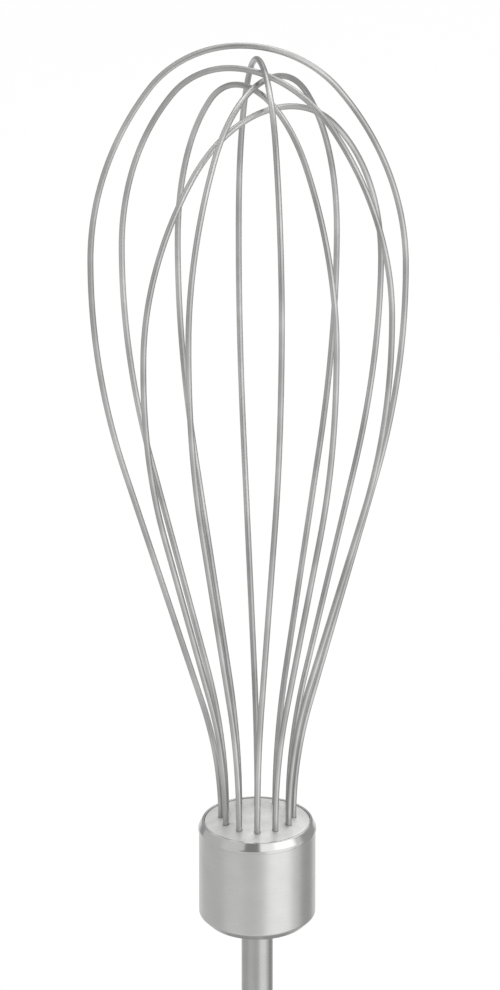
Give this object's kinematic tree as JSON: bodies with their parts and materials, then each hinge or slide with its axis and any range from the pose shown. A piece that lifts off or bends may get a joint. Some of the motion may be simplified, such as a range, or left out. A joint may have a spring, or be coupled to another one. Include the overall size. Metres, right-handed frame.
{
  "type": "whisk attachment",
  "caption": "Balloon whisk attachment for a powered mixer: nested steel wire loops held in a drawn steel cup on a straight round drive shaft.",
  "frame": {"origin": "on the shaft's axis at the underside of the hub cup, where the free length of the shaft starts", "axes": "+Z along the shaft towards the crown of the wire loops, +X along the widest loop, to the right in the picture"},
  "size_m": [0.0603, 0.0598, 0.2314],
  "materials": {
    "wire_steel": "polished drawn wire",
    "cup_steel": "satin drawn cup",
    "plate_steel": "matt stamped disc",
    "core_plastic": "moulded",
    "shaft_steel": "ground bar"
  },
  "bodies": {
    "root": {"wire_loop_1": "wire_steel", "wire_loop_2": "wire_steel", "wire_loop_3": "wire_steel", "wire_loop_4": "wire_steel", "wire_loop_5": "wire_steel", "wire_loop_6": "wire_steel", "hub_cup": "cup_steel", "wire_plate": "plate_steel", "hub_core": "core_plastic", "drive_shaft": "shaft_steel"}
  },
  "joints": []
}
